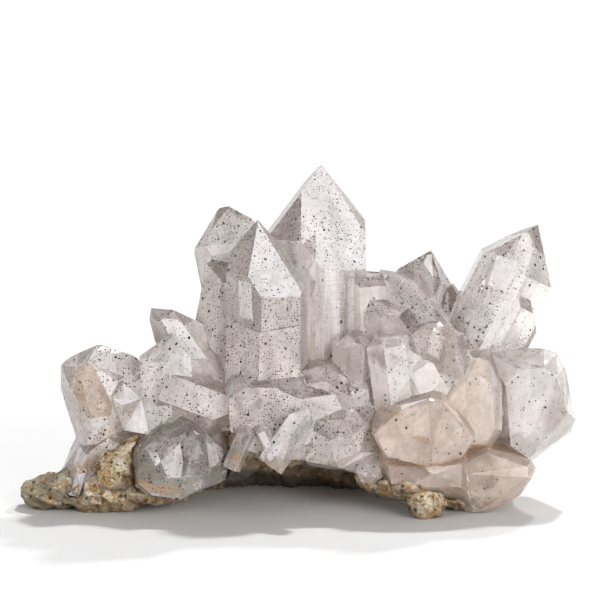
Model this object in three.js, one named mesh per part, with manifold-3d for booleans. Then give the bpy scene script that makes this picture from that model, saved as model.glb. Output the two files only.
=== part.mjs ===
// Quartz crystal cluster on a little of its own rock. Millimetres, +Z up, -Y towards the viewer.
// Every crystal is the common part of half-spaces: six prism faces round a long axis and six
// faces of the tip. All crystals are grown together into one solid. The rock is a second solid
// that fills the space between their roots.
import * as THREE from "three";
import { ConvexGeometry } from "three/addons/geometries/ConvexGeometry.js";
import { mergeVertices } from "three/addons/utils/BufferGeometryUtils.js";
import Module from "manifold-3d";

const wasm = await Module();
wasm.setup();

// Driving dimensions, millimetres and degrees.
const TIP_ANGLE = 38.2; // between a tip face of quartz and the long axis
const SEAM = 0.3; // width of the joint between crystals and rock
const FOOT_LEVEL = 0.6; // the feet are worn flat up to this height

const radians = THREE.MathUtils.degToRad;

// Shapes in general

// The corners of the common part of half-spaces; each holds the points with normal . p <= reach.
function cornersOf(halfSpaces) {
  const corners = [];
  const inside = (p) => halfSpaces.every(({ normal, reach }) => normal.dot(p) < reach + 1e-6);
  for (let i = 0; i < halfSpaces.length; i++) {
    for (let j = i + 1; j < halfSpaces.length; j++) {
      for (let k = j + 1; k < halfSpaces.length; k++) {
        const rows = [halfSpaces[i], halfSpaces[j], halfSpaces[k]];
        const [a, b, c] = rows.map((row) => row.normal);
        const volume = a.dot(b.clone().cross(c));
        if (Math.abs(volume) < 1e-5) continue;
        const p = b.clone().cross(c).multiplyScalar(rows[0].reach);
        p.addScaledVector(c.clone().cross(a), rows[1].reach);
        p.addScaledVector(a.clone().cross(b), rows[2].reach);
        p.divideScalar(volume);
        if (inside(p) && !corners.some((q) => q.distanceTo(p) < 0.02)) corners.push(p);
      }
    }
  }
  return corners;
}

function solidOf(geometry) {
  geometry.deleteAttribute("normal");
  geometry.deleteAttribute("uv");
  const merged = mergeVertices(geometry, 1e-4);
  return new wasm.Manifold(new wasm.Mesh({
    numProp: 3,
    vertProperties: new Float32Array(merged.attributes.position.array),
    triVerts: new Uint32Array(merged.index.array),
  }));
}

const hullOf = (corners) => solidOf(new ConvexGeometry(corners));

// The same convex body, larger by `gap` all round: the room it takes up in the rock.
function swollen(corners, gap) {
  const reach = gap * Math.sqrt(3);
  const steps = [[1, 0, 0], [-1, 0, 0], [0, 1, 0], [0, -1, 0], [0, 0, 1], [0, 0, -1]];
  const points = corners.flatMap((p) =>
    steps.map(([x, y, z]) => new THREE.Vector3(x, y, z).multiplyScalar(reach).add(p)));
  return hullOf(points);
}

const unite = (solids) => solids.reduce((sum, solid) => sum.add(solid));

// The outer body alone: no loose crumbs, and no pockets sealed between crystals.
const mainBody = (solid) => solid.decompose().sort((a, b) => b.volume() - a.volume())[0];

// Crystals

// tip: the point where the highest tip faces meet. axis: the way the crystal points. turn: degrees
// from the viewer's side to the first face, to the right. prism: distances of the six side faces
// from the axis through the tip. caps: how far each tip face clears the tip. length: from the tip
// to the root. broken: further faces, each with its direction, its angle from the axis and its
// distance below the tip.
function crystal({ tip, axis, turn, prism, caps, length, broken = [] }) {
  const apex = new THREE.Vector3(...tip);
  const along = new THREE.Vector3(...axis).normalize();
  const front = new THREE.Vector3(0, -1, 0).addScaledVector(along, along.y).normalize();
  const side = along.clone().cross(front);
  const towards = (degrees) => front.clone().multiplyScalar(Math.cos(radians(degrees)))
    .addScaledVector(side, Math.sin(radians(degrees)));
  const halfSpaces = [];
  const add = (normal, distance) => halfSpaces.push({ normal, reach: normal.dot(apex) + distance });
  const sloping = (degrees, fromAxis, clearance) => {
    const normal = towards(degrees).multiplyScalar(Math.cos(radians(fromAxis)))
      .addScaledVector(along, Math.sin(radians(fromAxis)));
    add(normal, clearance);
  };
  prism.forEach((distance, i) => add(towards(turn + 60 * i), distance));
  caps.forEach((clearance, i) => sloping(turn + 60 * i, TIP_ANGLE, clearance));
  broken.forEach(([degrees, fromAxis, below]) => sloping(degrees, fromAxis, -below));
  add(along.clone().negate(), length);
  return cornersOf(halfSpaces);
}

// A broken or frosted block: rings of [x, z] corners. Each ring has a depth y at its first corner
// and may recede by so many millimetres to the back for each one to the right and upwards.
function block(...rings) {
  return rings.flatMap(([y, outline, [rightwards, upwards] = [0, 0]]) => {
    const [firstX, firstZ] = outline[0];
    return outline.map(([x, z]) =>
      new THREE.Vector3(x, y + rightwards * (x - firstX) + upwards * (z - firstZ), z));
  });
}

const tallest = crystal({
  tip: [5.7, 22, 90.4],
  axis: [0, 0, 1],
  turn: 30,
  prism: [21, 12.1, 8, 9, 15, 20.2],
  caps: [0, 0, 0, 3, 0, 4.2],
  length: 62,
  broken: [[75, TIP_ANGLE, 0]],
});
const tallestStep = crystal({
  tip: [4, 5.5, 73],
  axis: [0, 0, 1],
  turn: 30,
  prism: [5.2, 9, 8, 9, 12.4, 6.6],
  caps: [0, 0, 0, 3, 1, 0],
  length: 44,
  broken: [[270, 80, 2.5]],
});
const leftBack = crystal({
  tip: [-20.5, 20, 79.6],
  axis: [-0.2, 0.08, 1],
  turn: -5,
  prism: [10, 8, 8, 6, 9.6, 9.4],
  caps: [0, 5, 0, 3, 0.4, 1.2],
  length: 56,
  broken: [[0, 90, 0.7]],
});
const darkTopped = crystal({
  tip: [-19.4, 4, 70.4],
  axis: [0.2, 0.05, 1],
  turn: 15,
  prism: [7, 7, 7, 7, 4, 4.6],
  caps: [1, 3, 2, 2, 0.4, 2],
  length: 46,
  broken: [[200, 80, 4.2], [20, 62, 5.2]],
});
const frontMiddle = crystal({
  tip: [-11.2, -2, 77.3],
  axis: [0, 0, 1],
  turn: 18,
  prism: [14.5, 13.5, 7, 6, 6.8, 10.3],
  caps: [0, 0, 1, 2, 0.6, 0],
  length: 48,
});
const frontMiddleStep = crystal({
  tip: [-11.2, -2, 77.3],
  axis: [0.02, 0, 1],
  turn: 18,
  prism: [15.4, 13.9, 7, 6, 6, 10.9],
  caps: [0, 0, 0, 0, 0, 0],
  length: 49,
  broken: [[-8, 72, 21.4]],
});
const lowLeft = crystal({
  tip: [-39.8, -4, 54.4],
  axis: [-0.7, 0.05, 1],
  turn: 0,
  prism: [3.2, 5.8, 9.5, 10, 6.6, 1.9],
  caps: [0, 3, 0, 2, 0, 0],
  length: 44,
});
const smallLeft = crystal({
  tip: [-34.4, -9, 48.2],
  axis: [-0.06, 0.12, 1],
  turn: -30,
  prism: [5.6, 5, 5.2, 7, 8, 8.6],
  caps: [0, 1.5, 0, 3, 0, 6],
  length: 24,
});
const leftHead = block(
  [6, [[-60, 36], [-56, 40], [-48, 40], [-42, 38], [-42, 20], [-56, 18]]],
  [-5, [[-64.1, 32.6], [-64.1, 39.1], [-62.7, 40.7], [-59.4, 42.5], [-54.1, 44.7], [-52.8, 44.7],
    [-44.3, 41.8], [-36, 34], [-38, 20], [-59.5, 17.1], [-61, 25], [-63.2, 30.6]]],
  [-14, [[-60.4, 33.4], [-59, 40], [-56.4, 41], [-54.7, 40.2], [-53.5, 37.6], [-49.6, 30], [-50, 26.8],
    [-56.2, 26.2]], [0.1, 0.16]],
  [-12.5, [[-56.3, 18.6], [-45, 22], [-43, 32], [-47, 37]], [0.1, 0.1]],
);
const milkyLeft = block(
  [-4, [[-51, 38], [-36, 39], [-32, 22], [-48, 20]]],
  [-14.6, [[-49.6, 31.6], [-46.6, 35.6], [-40, 36.6], [-35, 32], [-36.6, 25], [-40, 22.2], [-46.6, 23.4]],
    [0.16, 0.26]],
  [-15, [[-47, 30], [-42, 31.6], [-39, 25]], [0.1, 0.1]],
);
const lyingLeft = crystal({
  tip: [-15.2, -11, 26],
  axis: [0.93, 0.02, -0.36],
  turn: -12,
  prism: [5.6, 6, 7, 7, 5.8, 6],
  caps: [3, 0, 1, 2, 0, 3],
  length: 23,
});
const lyingDark = block(
  [-6, [[-40, 22], [-31, 28], [-20, 20], [-20, 8], [-38, 8]]],
  [-14, [[-45, 18.6], [-40.4, 22.6], [-32.4, 28.4], [-29, 26.2], [-20.8, 19.4], [-19.4, 15], [-22, 9],
    [-31, 5.4], [-44, 8]]],
  [-20, [[-43, 19.6], [-36.4, 23], [-29.4, 26.4], [-24.9, 23.6], [-20.4, 20.2], [-18.9, 18.6], [-18.6, 16],
    [-19.1, 13.2], [-23.6, 9], [-30.7, 6], [-41.6, 7.4]]],
  [-23.5, [[-41.4, 19.4], [-35, 21.4], [-28, 24.8], [-24.6, 22.8], [-20.6, 17.4]]],
  [-28.5, [[-42.4, 11.6], [-38.6, 8.2], [-30.6, 7.6], [-25.4, 10.4], [-23.4, 14.4]]],
);
const leftStump = block(
  [8, [[-60, 20], [-46, 24], [-38, 22], [-38, 5], [-62, 5]]],
  [-7, [[-64.6, 9.6], [-59.2, 18], [-53.3, 22.6], [-47, 25], [-38, 24], [-38, 6], [-62, 6]]],
  [-14.5, [[-61.4, 10.6], [-57, 16.4], [-51, 20.6], [-45.6, 18], [-46, 12], [-55, 8]], [0, 0.25]],
);
const leftPrisms = [
  [[-54.6, -16, 16.6], [-0.12, 0.2, 1], 1.5, 14],
  [[-58, -14, 14.4], [0.3, 0.05, 1], 1.9, 9],
  [[-56.6, -17.4, 12.6], [0.1, 0, 1], 1.2, 9],
];
const middleFront = block(
  [6, [[-20, 38], [0, 40], [20, 38], [22, 18], [-18, 18]]],
  [-13, [[-20, 34], [-18, 37.5], [-10, 40], [2, 38], [18, 34], [21, 17], [14, 14], [-6, 16], [-17, 21]]],
  [-21, [[-18.6, 32.6], [-14, 35.6], [-7, 35.4], [0, 32.4], [1, 20], [-6, 17], [-14, 19.5], [-18.4, 25]],
    [0.06, 0.22]],
);
const greenPrism = crystal({
  tip: [-13, -23.4, 26.6],
  axis: [0.42, 0.1, 1],
  turn: 10,
  prism: [2.2, 2, 2.4, 2.4, 2.2, 2.2],
  caps: [0, 0.6, 0, 1, 0, 0.6],
  length: 13,
});
const upperLump = block(
  [4, [[0, 40], [14, 40], [16, 26], [0, 26]]],
  [-12.5, [[0.6, 39], [6.6, 40.2], [12, 37.2], [15.4, 34], [15.8, 26], [0.2, 26]]],
  [-16.5, [[1.6, 35.6], [7, 36.6], [13, 32.4], [14.6, 27], [1, 27]], [0.05, 0.1]],
);
const greyBody = block(
  [2, [[0, 36], [20, 34], [24, 16], [0, 16]]],
  [-13, [[-0.5, 30], [5.3, 33], [12, 32], [20.1, 29], [21.6, 22], [22.6, 16], [17, 10.8], [2, 13.4],
    [-0.6, 17.2]]],
  [-20, [[0.8, 25.4], [4.4, 27], [12, 27], [17.9, 25.4], [19.6, 18], [11, 14], [1.6, 16]], [0.05, 0.1]],
  [-22.5, [[8, 22], [14, 23.4], [15.6, 18.4], [9, 16.6]], [0.1, 0.1]],
);
const clearPrismRight = crystal({
  tip: [3.2, -25.4, 31.2],
  axis: [0.72, 0.12, 1],
  turn: 24,
  prism: [2, 3.6, 3.4, 3, 3.8, 2.2],
  caps: [0.6, 0, 1, 2, 0, 1],
  length: 19,
  broken: [[30, 76, 1.2]],
});
const clearPrismLeft = crystal({
  tip: [-10.6, -25, 26.6],
  axis: [-0.48, 0.12, 1],
  turn: -10,
  prism: [1.6, 1.5, 1.7, 1.6, 1.5, 1.6],
  caps: [0, 0.4, 0, 0.4, 0, 0.8],
  length: 12,
});
const rightMiddle = crystal({
  tip: [35.7, 16, 67.5],
  axis: [0.2, 0.05, 1],
  turn: 6,
  prism: [13, 6.2, 7, 8, 9, 10],
  caps: [0, 0, 0, 3, 0, 4],
  length: 46,
});
const rightMiddleStep = crystal({
  tip: [41.6, 14, 58.6],
  axis: [0.02, 0.05, 1],
  turn: 10,
  prism: [7, 2.2, 2, 5, 6, 7],
  caps: [1, 0, 0, 1, 0, 2],
  length: 30,
});
const slantedUpper = crystal({
  tip: [22.6, 6, 63],
  axis: [-0.84, 0.05, 1],
  turn: 20,
  prism: [6.5, 5.4, 8, 8, 8, 7],
  caps: [2, 0, 1, 2, 1, 2],
  length: 46,
});
const slantedLower = crystal({
  tip: [19.4, 0, 56.6],
  axis: [-0.7, 0.08, 1],
  turn: -5,
  prism: [5.6, 6, 8, 8, 7, 6],
  caps: [1, 0, 1, 2, 1, 2],
  length: 36,
});
const shoulderRight = crystal({
  tip: [15.5, 8, 66.2],
  axis: [-0.06, 0.1, 1],
  turn: 20,
  prism: [8.5, 8, 8, 6, 6, 7],
  caps: [2, 2.6, 2, 3, 2, 3],
  length: 42,
  broken: [[10, 84, 4.2]],
});
const shoulderFoot = crystal({
  tip: [15.4, -4, 49.6],
  axis: [0.1, 0.05, 1],
  turn: 8,
  prism: [6, 4.4, 5, 6, 5, 5.6],
  caps: [2, 0, 1, 2, 0, 1],
  length: 22,
  broken: [[-20, 74, 1.6]],
});
const right = crystal({
  tip: [64.3, 10, 75.2],
  axis: [0.51, 0.03, 1],
  turn: 30,
  prism: [10.5, 10.2, 8, 8, 10.3, 10.5],
  caps: [0, 0, 0, 2, 0, 2.5],
  length: 46,
});
const rightStep = crystal({
  tip: [61, 3.5, 60],
  axis: [0.51, 0.03, 1],
  turn: 30,
  prism: [5.4, 8.2, 8, 8, 3, 4.6],
  caps: [0.4, 0, 0, 2, 0, 1],
  length: 26,
});
const paleBlock = block(
  [18, [[52, 40], [64, 40], [68, 32], [66, 20], [54, 18]]],
  [-1, [[49, 43], [61.5, 43.3], [65.5, 43.1], [68.9, 42], [71.1, 38.4], [72.5, 33], [73.6, 26.4],
    [74.4, 23.6], [73.4, 20.6], [61.8, 11.6], [57.9, 12.9], [52.3, 18.6], [50, 30]]],
  [-13, [[54.6, 34.6], [58, 38.8], [64.8, 39.8], [68.6, 37.4], [71.2, 27.6]], [0.06, 0.1]],
  [-13, [[54.6, 34.6], [56, 18.4], [61.2, 14.8], [66, 20.4]], [0.14, -0.04]],
);
const saddleRight = crystal({
  tip: [49.4, 4, 47.6],
  axis: [-0.1, 0.2, 1],
  turn: 12,
  prism: [10, 9, 8, 8, 7, 8],
  caps: [0, 1, 0, 2, 0, 1],
  length: 24,
  broken: [[0, 70, 2.4]],
});
const beigeBlock = block(
  [6, [[36, 42], [52, 44], [54, 20], [38, 18]]],
  [-12, [[36, 30], [39.5, 36.6], [43, 40.4], [47, 42.2], [50.2, 41.4], [53.7, 35], [53.8, 22.6], [51, 18],
    [42, 17]]],
  [-18, [[43.6, 36.6], [47.4, 38.6], [50.6, 35.4], [51.6, 24], [49, 20], [44.6, 20]], [0.12, 0.06]],
  [-17, [[41, 36], [38, 31], [40, 22]]],
);
const whiteLeft = crystal({
  tip: [22.6, -8, 51.4],
  axis: [-0.14, 0.12, 1],
  turn: 14,
  prism: [6.6, 5.8, 6, 7, 5.2, 6],
  caps: [1, 1.4, 1, 2, 0, 1],
  length: 26,
  broken: [[40, 78, 3.6]],
});
const whiteMiddle = crystal({
  tip: [32, -8, 53],
  axis: [-0.42, 0.15, 1],
  turn: -8,
  prism: [5, 7, 8, 7, 6, 5.4],
  caps: [1, 0, 1, 2, 0, 1],
  length: 26,
  broken: [[0, 72, 3.4]],
});
const whiteMass = block(
  [6, [[18, 48], [32, 50], [46, 46], [46, 30], [20, 30]]],
  [-11, [[22, 40], [28, 45], [38, 45.6], [45, 44], [46, 34], [36, 28], [24, 28]]],
  [-15.5, [[29, 38], [34, 41.4], [42, 39], [42, 33], [33, 31]], [0.05, 0.2]],
);
const frostedBlock = block(
  [-4, [[20, 30], [38, 36], [46, 24], [40, 15], [22, 16]]],
  [-22, [[18.6, 24], [21, 27.4], [26.2, 31.2], [34, 33.3], [37.4, 32.6], [42, 28], [46.4, 23], [42.8, 17],
    [36.8, 15.2], [33.4, 14.6], [26.3, 16.2], [22.1, 17]]],
  [-25.2, [[19.3, 24], [21.6, 26.8], [26.6, 30.4], [34, 32.4], [36.8, 31.6]], [0.02, 0.16]],
  [-25.6, [[19.3, 24], [22.8, 17.9], [33.4, 15.5], [42.2, 17.8], [45.4, 22.9]], [0.02, 0.05]],
);
const smokyFoot = block(
  [12, [[40, 18], [58, 16], [60, 4], [42, 0]]],
  [-12, [[43, 15], [49.1, 18.4], [55.8, 16.2], [61.8, 14.6], [63, 12.4], [61.7, 9.5], [58.8, 5],
    [55.9, 3], [49.5, 0], [44.5, 0], [40, 8]]],
  [-17.4, [[43.4, 14.6], [49.4, 17.6], [60.4, 13.8], [60.6, 11]], [0.04, 0.14]],
  [-18, [[44, 12], [46.6, 2], [54.6, 3.6], [58, 6]], [0.1, 0]],
);
const footBridge = block(
  [14, [[24, 22], [48, 24], [48, 4], [28, 6]]],
  [-16, [[20, 17], [32, 18], [44, 16], [46, 5], [31, 5.4], [24, 7]]],
  [-21.5, [[23, 15], [33, 14.6], [35, 12.6], [27.6, 9.4], [24, 10.4]], [0.05, 0.3]],
  [-19.5, [[34, 16], [43, 15], [42.6, 9], [36, 10]], [0.05, 0.2]],
);
const whiteNodule = block(
  [-12, [[15, 17], [22, 17], [23, 10], [16, 11]]],
  [-20.5, [[14.6, 13.4], [17.4, 15.2], [21, 14.4], [21.6, 11.6], [18.6, 9.4], [16, 10.4]]],
  [-22.5, [[16.4, 13], [18.6, 13.6], [20.2, 12.2], [18.2, 11]]],
);

// Under and behind the crystals that show, the mass goes on with broken stumps.
const heart = block(
  [26, [[-34, 34], [0, 42], [30, 40], [46, 30], [40, 20], [-30, 18]]],
  [2, [[-46, 32], [-20, 44], [20, 46], [52, 38], [56, 16], [30, 14], [-20, 18], [-50, 12]]],
);
const backLeft = crystal({
  tip: [-33, 37, 46.5],
  axis: [-0.3, 0.55, 1],
  turn: 25,
  prism: [8, 9, 8, 7, 8, 9],
  caps: [0, 1, 0, 2, 0, 2],
  length: 32,
});
const backFarLeft = crystal({
  tip: [-54, 24, 36],
  axis: [-0.5, 0.7, 1],
  turn: -10,
  prism: [6, 7, 6, 6, 7, 6],
  caps: [0, 1, 0, 2, 1, 0],
  length: 26,
});
const backMiddle = crystal({
  tip: [-8, 38, 62],
  axis: [-0.05, 0.34, 1],
  turn: 5,
  prism: [8, 8, 9, 7, 8, 8],
  caps: [0, 2, 0, 2, 0, 3],
  length: 38,
});
const backRight = crystal({
  tip: [26, 39, 52],
  axis: [0.12, 0.42, 1],
  turn: 40,
  prism: [7, 9, 7, 7, 7, 8],
  caps: [0, 2, 0, 2, 1, 2],
  length: 34,
});
const backLow = crystal({
  tip: [8, 45, 38],
  axis: [0.05, 0.9, 0.9],
  turn: 15,
  prism: [7, 6, 6, 7, 6, 7],
  caps: [0, 1, 0, 1, 0, 2],
  length: 26,
});
const backLowLeft = crystal({
  tip: [-22, 42, 31],
  axis: [-0.25, 1, 0.6],
  turn: 33,
  prism: [5, 5, 6, 5, 6, 5],
  caps: [0, 1, 0, 1, 0, 2],
  length: 24,
});
const backFarRight = crystal({
  tip: [54, 30, 40],
  axis: [0.3, 0.7, 1],
  turn: 10,
  prism: [7, 7, 7, 6, 7, 8],
  caps: [0, 1, 0, 2, 0, 1],
  length: 30,
});
const backLowRight = crystal({
  tip: [38, 41, 27],
  axis: [0.2, 1, 0.5],
  turn: -12,
  prism: [6, 5, 6, 6, 5, 5],
  caps: [0, 1, 0, 1, 0, 1],
  length: 24,
});
const smallPrism = ([tip, axis, halfWidth, length], i) => crystal({
  tip,
  axis,
  turn: 17 * i,
  prism: [1, 1.15, 0.95, 1, 1.1, 1].map((part) => part * halfWidth),
  caps: [0, 0.6, 0, 0.9, 0, 0.4].map((part) => part * halfWidth),
  length,
});

const crystals = [
  tallest, tallestStep, leftBack, darkTopped, frontMiddle, frontMiddleStep, lowLeft, smallLeft,
  leftHead, milkyLeft, lyingLeft, lyingDark, leftStump, ...leftPrisms.map(smallPrism), middleFront,
  greenPrism, upperLump, greyBody, clearPrismRight, clearPrismLeft, rightMiddle, rightMiddleStep,
  slantedUpper, slantedLower, shoulderRight, shoulderFoot, right, rightStep, paleBlock, saddleRight,
  beigeBlock, whiteLeft, whiteMiddle, whiteMass, frostedBlock, smokyFoot, footBridge, whiteNodule,
  heart, backLeft, backFarLeft, backMiddle, backRight, backLow, backLowLeft, backFarRight,
  backLowRight,
];

// Rock

// A lump of rock: a ball with unequal half-widths, roughened by a few waves and ledges.
function lump([x, y, z], [halfX, halfY, halfZ], seed, detail = 3) {
  const ball = new THREE.IcosahedronGeometry(1, detail);
  const places = ball.attributes.position;
  const p = new THREE.Vector3();
  for (let i = 0; i < places.count; i++) {
    p.fromBufferAttribute(places, i);
    const u = p.x * 5 + seed;
    const v = p.y * 6 - 2 * seed;
    const w = p.z * 7 + 3 * seed;
    const wave = Math.sin(u + 1.3 * Math.sin(v)) + Math.sin(v + 1.1 * Math.sin(w)) + Math.sin(w + 1.2 * u);
    const ledge = Math.round(3 * Math.sin(1.7 * u + w)) / 3;
    const size = 1 + 0.055 * wave + 0.05 * ledge;
    places.setXYZ(i, x + halfX * size * p.x, y + halfY * size * p.y, z + halfZ * size * p.z);
  }
  return solidOf(ball);
}

const rockLumps = [
  lump([-66, -5, 4.8], [9, 10, 4.4], 1),
  lump([-52, -7.4, 6.6], [14, 11.6, 6.8], 2),
  lump([-38, -7, 7.8], [12, 12.4, 5.6], 3),
  lump([-50, 10, 6], [15, 12, 6.6], 4),
  lump([-24, -4, 14], [14, 14, 6], 5),
  lump([-6, -4, 18], [17, 16, 5.4], 6),
  lump([12, 0, 17], [16, 18, 5.6], 7),
  lump([28, -8, 10], [13, 15, 6], 8),
  lump([44, 0, 6], [14, 16, 6.4], 9),
  lump([38, 19, 9], [15, 13, 9], 10),
  lump([-30, 14, 15], [15, 12, 6], 12, 2),
  lump([-8, 18, 20], [17, 12, 5], 13, 2),
  lump([13, 20, 19], [15, 12, 5.4], 14, 2),
  lump([33.5, -19, 4.4], [5.4, 4.6, 4.6], 11),
  lump([-48.6, -16, 12.4], [6.4, 5, 6], 18),
  lump([-44.4, -14, 17.6], [4.6, 4.4, 3.4], 19, 2),
  lump([-61, -11.4, 7.4], [7, 6, 4.6], 20, 2),
  lump([-26, 25, 8.4], [15, 11, 11], 15),
  lump([-3, 29, 9], [16, 9, 12.4], 16),
  lump([18, 27, 8.6], [14, 11, 11.6], 17),
];
// The ground that the rock and the feet are worn flat on.
const ground = hullOf([-120, 120].flatMap((x) => [-120, 120].flatMap((y) => [-40, FOOT_LEVEL].map(
  (z) => new THREE.Vector3(x, y, z)))));

const quartz = mainBody(unite(crystals.map(hullOf)).subtract(ground));
const sockets = unite(crystals.map((corners) => swollen(corners, SEAM)));
const rock = mainBody(unite(rockLumps).subtract(ground).subtract(sockets));

// Meshes

function meshOf(solid, name, material) {
  const { numProp, vertProperties, triVerts } = solid.getMesh();
  const geometry = new THREE.BufferGeometry();
  const places = new Float32Array((vertProperties.length / numProp) * 3);
  for (let i = 0; i < places.length / 3; i++) {
    places.set(vertProperties.subarray(i * numProp, i * numProp + 3), i * 3);
  }
  geometry.setAttribute("position", new THREE.BufferAttribute(places, 3));
  geometry.setIndex(new THREE.BufferAttribute(new Uint32Array(triVerts), 1));
  geometry.computeVertexNormals();
  const mesh = new THREE.Mesh(geometry, material);
  mesh.name = name;
  return mesh;
}

const quartzMesh = meshOf(quartz, "quartz_crystals", new THREE.MeshStandardMaterial({
  color: 0xd2c9c6, roughness: 0.12, metalness: 0, transparent: true, opacity: 0.85, flatShading: true,
}));
const rockMesh = meshOf(rock, "matrix_rock", new THREE.MeshStandardMaterial({
  color: 0x87745c, roughness: 0.92, metalness: 0, flatShading: true,
}));

// The middle of the footprint is the origin.
const cluster = new THREE.Group();
cluster.name = "quartz_crystal_cluster";
cluster.add(quartzMesh, rockMesh);
const box = new THREE.Box3().setFromObject(cluster);
const middle = box.getCenter(new THREE.Vector3());
for (const mesh of [quartzMesh, rockMesh]) mesh.geometry.translate(-middle.x, -middle.y, -box.min.z);

export default cluster;
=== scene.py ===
"""Looks of a quartz crystal cluster on a little of its rock: surfaces, floor, light and camera.

Metres, +Z up, -Y towards the viewer. Sizes are written in millimetres and multiplied by MM.
"""

import math

import bmesh
import bpy
import numpy as np
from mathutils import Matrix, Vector
from mathutils.bvhtree import BVHTree

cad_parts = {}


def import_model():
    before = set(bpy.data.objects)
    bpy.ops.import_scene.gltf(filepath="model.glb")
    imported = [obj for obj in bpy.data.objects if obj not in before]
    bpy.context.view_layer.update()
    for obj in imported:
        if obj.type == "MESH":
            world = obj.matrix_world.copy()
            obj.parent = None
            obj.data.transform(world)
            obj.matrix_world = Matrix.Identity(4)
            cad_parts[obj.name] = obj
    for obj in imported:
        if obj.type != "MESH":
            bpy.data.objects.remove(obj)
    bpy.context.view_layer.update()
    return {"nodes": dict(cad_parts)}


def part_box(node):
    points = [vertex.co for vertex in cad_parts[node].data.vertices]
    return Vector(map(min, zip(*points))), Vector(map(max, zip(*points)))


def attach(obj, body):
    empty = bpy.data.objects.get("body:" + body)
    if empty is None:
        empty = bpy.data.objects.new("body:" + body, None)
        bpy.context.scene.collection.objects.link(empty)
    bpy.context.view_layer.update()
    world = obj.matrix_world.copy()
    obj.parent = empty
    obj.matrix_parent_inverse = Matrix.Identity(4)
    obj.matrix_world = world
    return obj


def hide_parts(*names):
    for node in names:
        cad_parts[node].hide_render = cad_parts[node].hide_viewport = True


MM = 0.001

# The photograph's view: 600 x 600 pixels, looking down a little at a point of the cluster.
PHOTO_SIDE = 600
PIXEL = 0.268 * MM
TARGET = Vector((0.53, -7.99, 55.4)) * MM
DISTANCE = 900 * MM
LOOKING_DOWN = math.radians(8)
SENSOR = 36.0

# From the crystals' own drawing to the frame, whose origin is the middle of the footprint.
CENTRING = np.array([0.53, -7.99, -0.6])

# Long axes of the crystals: tip, direction, how far from it the faces may lie, and the length,
# in millimetres.
CRYSTALS = {
    "tallest": ((5.7, 22, 90.4), (0, 0, 1), 26, 64),
    "tallest step": ((4, 5.5, 73), (0, 0, 1), 15, 46),
    "left back": ((-20.5, 20, 79.6), (-0.2, 0.08, 1), 15, 58),
    "dark topped": ((-19.4, 4, 70.4), (0.2, 0.05, 1), 11, 48),
    "front middle": ((-11.2, -2, 77.3), (0, 0, 1), 20, 50),
    "low left": ((-39.8, -4, 54.4), (-0.7, 0.05, 1), 13, 46),
    "small left": ((-34.4, -9, 48.2), (-0.06, 0.12, 1), 11, 26),
    "lying left": ((-15.2, -11, 26), (0.93, 0.02, -0.36), 9, 25),
    "green prism": ((-13, -23.4, 26.6), (0.42, 0.1, 1), 4, 15),
    "clear prism right": ((3.2, -25.4, 31.2), (0.72, 0.12, 1), 5, 21),
    "clear prism left": ((-10.6, -25, 26.6), (-0.48, 0.12, 1), 3, 14),
    "right middle": ((35.7, 16, 67.5), (0.2, 0.05, 1), 17, 48),
    "right middle step": ((41.6, 14, 58.6), (0.02, 0.05, 1), 10, 32),
    "slanted upper": ((22.6, 6, 63), (-0.84, 0.05, 1), 10, 48),
    "slanted lower": ((19.4, 0, 56.6), (-0.7, 0.08, 1), 10, 38),
    "shoulder right": ((15.5, 8, 66.2), (-0.06, 0.1, 1), 11, 44),
    "shoulder foot": ((15.4, -4, 49.6), (0.1, 0.05, 1), 8, 24),
    "right": ((64.3, 10, 75.2), (0.51, 0.03, 1), 14, 48),
    "right step": ((61, 3.5, 60), (0.51, 0.03, 1), 10, 28),
}

# The longest edges of the two meshes.
QUARTZ_EDGE = 1.5 * MM
ROCK_EDGE = 0.9 * MM

# Kinds of flat face on a crystal, and how deep the relief of each is.
KINDS = ("side", "tip", "rough")
ROUGH = KINDS.index("rough")
RELIEF = (0.05 * MM, 0.03 * MM, 0.30 * MM)

# The angle between a tip face and the long axis has this sine. A face may miss it by a little.
TIP_SINE = 0.618
MOST_MISSED = 0.09

# How much the missed angle and the millimetres from the axis count against a crystal, and how
# many millimetres beyond its tip a face may still lie.
MISS_WEIGHT = 60
ASIDE_WEIGHT = 0.1
BEYOND_TIP = 2

# An edge between flat faces stays sharp above this many degrees; on frosted faces it is rounder.
SHARP_ABOVE = 14.0
SHARP_ABOVE_FROSTED = 20.0


# Shader building


class Value:
    """A number in a node tree. An operator on it adds a Math node."""

    def __init__(self, tree, socket):
        self.tree = tree
        self.socket = socket

    def maths(self, operation, *items):
        node = self.tree.nodes.new("ShaderNodeMath")
        node.operation = operation
        for slot, item in zip(node.inputs, items):
            if isinstance(item, Value):
                self.tree.links.new(item.socket, slot)
            else:
                slot.default_value = item
        return Value(self.tree, node.outputs[0])

    def __add__(self, other):
        return self.maths("ADD", self, other)

    __radd__ = __add__

    def __sub__(self, other):
        return self.maths("SUBTRACT", self, other)

    def __rsub__(self, other):
        return self.maths("SUBTRACT", other, self)

    def __mul__(self, other):
        return self.maths("MULTIPLY", self, other)

    __rmul__ = __mul__

    def __truediv__(self, other):
        return self.maths("DIVIDE", self, other)

    def __pow__(self, other):
        return self.maths("POWER", self, other)

    def __lt__(self, other):
        return self.maths("LESS_THAN", self, other)

    def clipped(self):
        return self.maths("MINIMUM", self.maths("MAXIMUM", self, 0.0), 1.0)

    def larger(self, other):
        return self.maths("MAXIMUM", self, other)


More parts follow.
